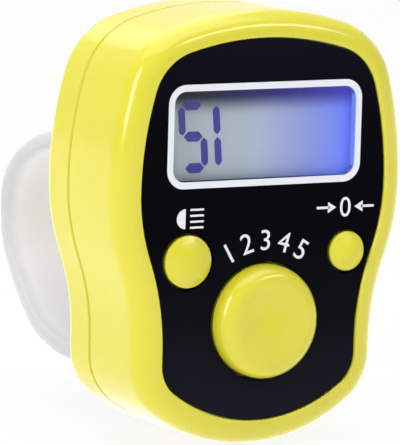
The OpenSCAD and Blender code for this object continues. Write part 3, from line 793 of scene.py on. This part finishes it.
# %% [markdown]
# The bars of a figure are lettered a to g, as in a data sheet: a is the top one, then clockwise,
# and g is the middle one. The display shows two figures at its left end. They sit on the front of
# the cell, just behind the pane.

# %% Set two figures
BARS = {
    "a": (0, 1, False), "b": (0.5, 0.5, True), "c": (0.5, -0.5, True), "d": (0, -1, False),
    "e": (-0.5, -0.5, True), "f": (-0.5, 0.5, True), "g": (0, 0, False)
}
FIGURES = {"left": (-7.4 * MM, "afgcd"), "right": (-5.9 * MM, "bc")}
FIGURE_DROP = 0.12 * MM
FIGURE_Z = middle("window_lens", 2) - FIGURE_DROP
CELL_GAP = 0.01 * MM
FIGURE_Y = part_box("lcd_front_glass")[0][1] - CELL_GAP
INK_BLUES = (tint(12, 14, 136), tint(20, 22, 148))


def joined(pieces):
    """Joins pieces into the first one, which stays selected."""
    bpy.ops.object.select_all(action="DESELECT")
    for piece in pieces:
        piece.select_set(True)
    bpy.context.view_layer.objects.active = pieces[0]
    if len(pieces) > 1:
        bpy.ops.object.join()
    return bpy.context.object


def display_ink():
    finish, flow = new_finish("display_ink")
    colour = two_tone(flow, pattern(flow, size=0.4 * MM), *INK_BLUES)
    surface(flow, Base_Color=colour, Roughness=uneven(flow, low=0.4, high=0.5, size=0.3 * MM))
    return finish


def figure_bar(letter, figure_x):
    """One bar of a figure, in its place on the cell."""
    part_x, part_z, is_tall = BARS[letter]
    rise = part_z * HALF_H
    x = figure_x + part_x * FIGURE_W - math.tan(LEAN) * rise
    if is_tall:
        bar, turn = new_bar(HALF_H - BAR_GAP, TALL_THICK), math.radians(90) + LEAN
    else:
        bar, turn = new_bar(FIGURE_W - BAR_GAP, LEVEL_THICK), 0
    stand_up(bar, x, FIGURE_Y, FIGURE_Z + rise, turn)
    return bar


ink = display_ink()

for name, (figure_x, lit_bars) in FIGURES.items():
    figure = joined([figure_bar(letter, figure_x) for letter in lit_bars])
    add_modifier(figure, "SOLIDIFY", thickness=BAR_DEEP, offset=1)
    finish_piece(figure, "figure_" + name, "case", "display_glass", ink)
    print("figure", name, "faces:", len(figure.data.polygons))

# %% [markdown]
# ## Marks on the face
# The face carries small white marks: numbers in an arc above the count button, a lamp sign over
# the left button and a zero between two arrows over the right one. Numbers are easiest as text,
# which is made a mesh and scaled to its printed height. Print is a skin of ink, so every mark is a
# flat mesh given a hair of thickness.

# %% Numbers in an arc
INK_DEEP = 0.03 * MM
INK_SINK = 0.01 * MM
INK_Y = face_front + INK_SINK


def number_mesh(body, height):
    """A printed number round the origin, as a flat mesh of one height."""
    bpy.ops.object.select_all(action="DESELECT")
    bpy.ops.object.text_add()
    number = bpy.context.object
    number.data.body = body
    number.data.align_x = "CENTER"
    number.data.align_y = "CENTER"
    bpy.ops.object.convert(target="MESH")
    number.scale = (height / number.dimensions.y,) * 3
    bpy.ops.object.transform_apply(location=False, rotation=False, scale=True)
    bpy.ops.object.origin_set(type="ORIGIN_GEOMETRY", center="BOUNDS")
    return number


def print_mark(pieces, name):
    """Joins flat pieces into one mark of ink on the face."""
    mark = joined(pieces)
    add_modifier(mark, "SOLIDIFY", thickness=INK_DEEP, offset=1)
    finish_piece(mark, name, "case", "border_white")
    print(name, "faces:", len(mark.data.polygons))


NUMBER_H = 1.95 * MM
ARC_R = 7.8 * MM
ARC_STEP = math.radians(15.5)
count_x, count_z = middle("count_button", 0), middle("count_button", 2)

for place, figure_name in enumerate("12345"):
    swing = (place - 2) * ARC_STEP
    number = number_mesh(figure_name, NUMBER_H)
    x, z = count_x + ARC_R * math.sin(swing), count_z + ARC_R * math.cos(swing)
    stand_up(number, x, INK_Y, z, -swing)
    print_mark([number], "arc_number_" + figure_name)

# %% [markdown]
# The lamp sign is the half round of a lamp with four rays, and it is cut from a disc: a bisect
# keeps one half. The reset sign is a zero with an arrow on each side. An arrow is a three-sided
# disc for its head and a strip for its tail.

# %% Lamp sign
SIGN_H = 1.9 * MM
SIGN_RISE = 4.1 * MM
RAYS = 4
RAY_LONG, RAY_THICK = 1.5 * MM, 0.2 * MM
LAMP_SHIFT = 0.4 * MM
RAY_SHIFT = 0.1 * MM
CORNER_SHARE = 0.3
lamp_x, lamp_z = middle("lamp_button", 0), middle("lamp_button", 2)


def flat_strip(length, height):
    """A flat strip round the origin with slightly rounded corners."""
    bpy.ops.object.select_all(action="DESELECT")
    bpy.ops.mesh.primitive_plane_add(size=1)
    bpy.ops.object.mode_set(mode="EDIT")
    bpy.ops.transform.resize(value=(length, height, 1))
    bpy.ops.mesh.bevel(offset=CORNER_SHARE * height, segments=2, affect="VERTICES")
    bpy.ops.object.mode_set(mode="OBJECT")
    return bpy.context.object


def half_disc(radius):
    """The left half of a disc, with its straight side at the origin."""
    bpy.ops.object.select_all(action="DESELECT")
    bpy.ops.mesh.primitive_circle_add(vertices=48, radius=radius, fill_type="NGON")
    bpy.ops.object.mode_set(mode="EDIT")
    bpy.ops.mesh.bisect(plane_co=(0, 0, 0), plane_no=(1, 0, 0), clear_outer=True)
    bpy.ops.object.mode_set(mode="OBJECT")
    return bpy.context.object


lamp_half = half_disc(SIGN_H / 2)
stand_up(lamp_half, lamp_x - LAMP_SHIFT, INK_Y, lamp_z + SIGN_RISE)
lamp_sign = [lamp_half]
for row in range(RAYS):
    ray = flat_strip(RAY_LONG, RAY_THICK)
    lift = (row / (RAYS - 1) - 0.5) * (SIGN_H - RAY_THICK)
    stand_up(ray, lamp_x + RAY_SHIFT + RAY_LONG / 2, INK_Y, lamp_z + SIGN_RISE + lift)
    lamp_sign.append(ray)
print_mark(lamp_sign, "lamp_sign")

# %% Reset sign
HEAD_R = 0.62 * MM
HEAD_OFF = 1.65 * MM
TAIL_LONG, TAIL_THICK = 1.5 * MM, 0.24 * MM
TAIL_OFF = 2.5 * MM
ZERO_SHIFT = 0.3 * MM
ZERO_RISE = SIGN_RISE + 0.2 * MM
sign_x = middle("reset_button", 0) - ZERO_SHIFT
sign_z = middle("reset_button", 2) + ZERO_RISE

zero = number_mesh("0", SIGN_H)
stand_up(zero, sign_x, INK_Y, sign_z)
reset_sign = [zero]
for side in (-1, 1):
    bpy.ops.object.select_all(action="DESELECT")
    bpy.ops.mesh.primitive_circle_add(vertices=3, radius=HEAD_R, fill_type="NGON")
    head = bpy.context.object
    stand_up(head, sign_x + side * HEAD_OFF, INK_Y, sign_z, side * math.radians(90))
    tail = flat_strip(TAIL_LONG, TAIL_THICK)
    stand_up(tail, sign_x + side * TAIL_OFF, INK_Y, sign_z)
    reset_sign += [head, tail]
print_mark(reset_sign, "reset_sign")

# %% [markdown]
# ## Sizes
# Dressing must not make the counter larger. The overall box of the imported model is measured
# near the start, where it sets the height of the floor.

# %% Sizes
print("dressing done")
